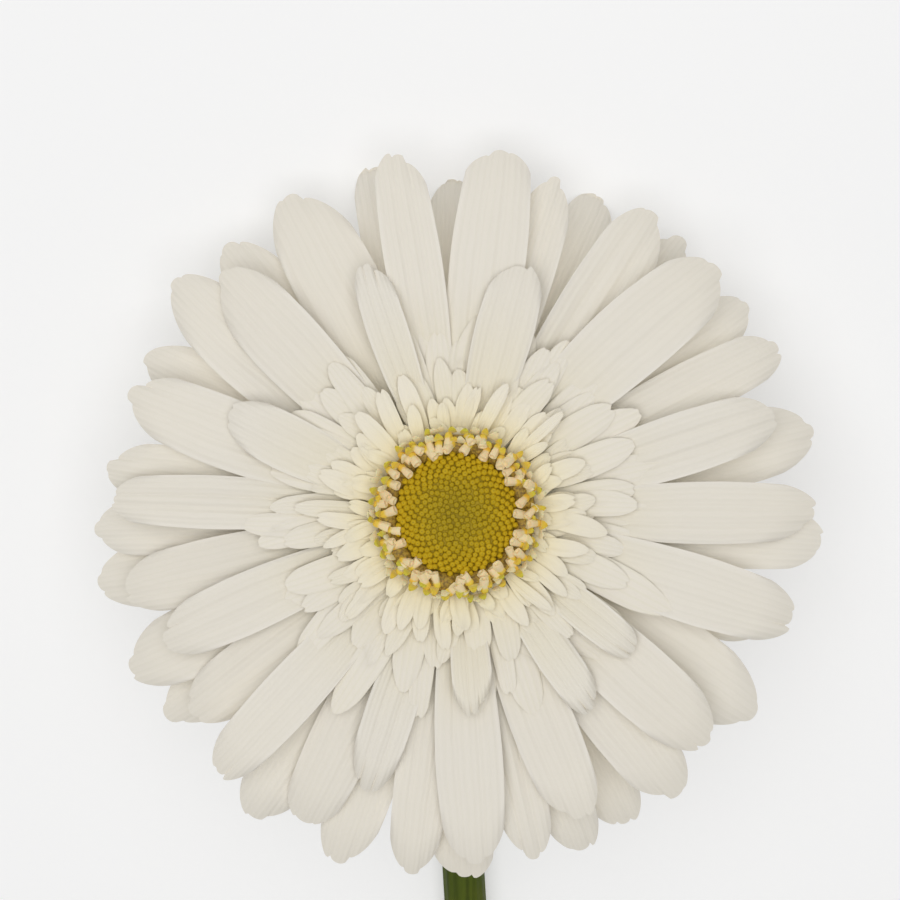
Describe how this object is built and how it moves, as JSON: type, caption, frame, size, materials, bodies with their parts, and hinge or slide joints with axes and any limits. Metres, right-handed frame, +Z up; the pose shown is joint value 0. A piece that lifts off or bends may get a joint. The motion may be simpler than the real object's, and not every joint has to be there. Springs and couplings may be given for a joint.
{
  "type": "cut gerbera flower",
  "caption": "Cut gerbera: a large white daisy-like flower head with an olive-green eye on a long leafless stem, lying on a surface with its face turned up.",
  "frame": {"origin": "on the table, under the middle of the whole lying flower", "axes": "+Z up from the table, +Y from the cut end of the stem towards the flower head, +X to the right of the stem seen from above"},
  "size_m": [0.1098, 0.4488, 0.0506],
  "materials": {
    "petals": "matt creamy-white petal with fine lengthwise veins, a little translucent",
    "inner_petals": "matt cream petal, yellower towards its root",
    "quill_florets": "matt cream to pale yellow, narrow and rolled",
    "open_florets": "cream anther tubes with orange-yellow pollen at their feet",
    "disc_buds": "waxy olive-yellow buds packed in spirals",
    "bracts": "matt green scales with a fine down",
    "receptacle": "matt pale green flesh",
    "stem": "green, finely ribbed and downy, with a paler cut end"
  },
  "bodies": {
    "root": {"stem": "stem", "receptacle": "receptacle", "bracts": "bracts", "inner_petals": "inner_petals", "quill_florets": "quill_florets", "open_florets": "open_florets", "disc_buds": "disc_buds", "back_petal_01": "petals", "back_petal_02": "petals", "back_petal_03": "petals", "back_petal_04": "petals", "back_petal_05": "petals", "back_petal_06": "petals", "third_petal_01": "petals", "third_petal_02": "petals", "third_petal_03": "petals", "third_petal_04": "petals", "third_petal_05": "petals", "third_petal_06": "petals", "third_petal_07": "petals", "third_petal_08": "petals", "third_petal_09": "petals", "third_petal_10": "petals", "third_petal_11": "petals", "third_petal_12": "petals", "third_petal_13": "petals", "second_petal_01": "petals", "second_petal_02": "petals", "second_petal_03": "petals", "second_petal_04": "petals", "second_petal_05": "petals", "second_petal_06": "petals", "second_petal_07": "petals", "second_petal_08": "petals", "second_petal_09": "petals", "second_petal_10": "petals", "second_petal_11": "petals", "second_petal_12": "petals", "second_petal_13": "petals", "front_petal_01": "petals", "front_petal_02": "petals", "front_petal_03": "petals", "front_petal_04": "petals", "front_petal_05": "petals", "front_petal_06": "petals", "front_petal_07": "petals", "front_petal_08": "petals", "front_petal_09": "petals", "front_petal_10": "petals", "front_petal_11": "petals", "front_petal_12": "petals", "front_petal_13": "petals", "front_petal_14": "petals", "front_petal_15": "petals", "short_petal_01": "petals", "short_petal_02": "petals", "short_petal_03": "petals", "short_petal_04": "petals", "short_petal_05": "petals", "short_petal_06": "petals"}
  },
  "joints": []
}
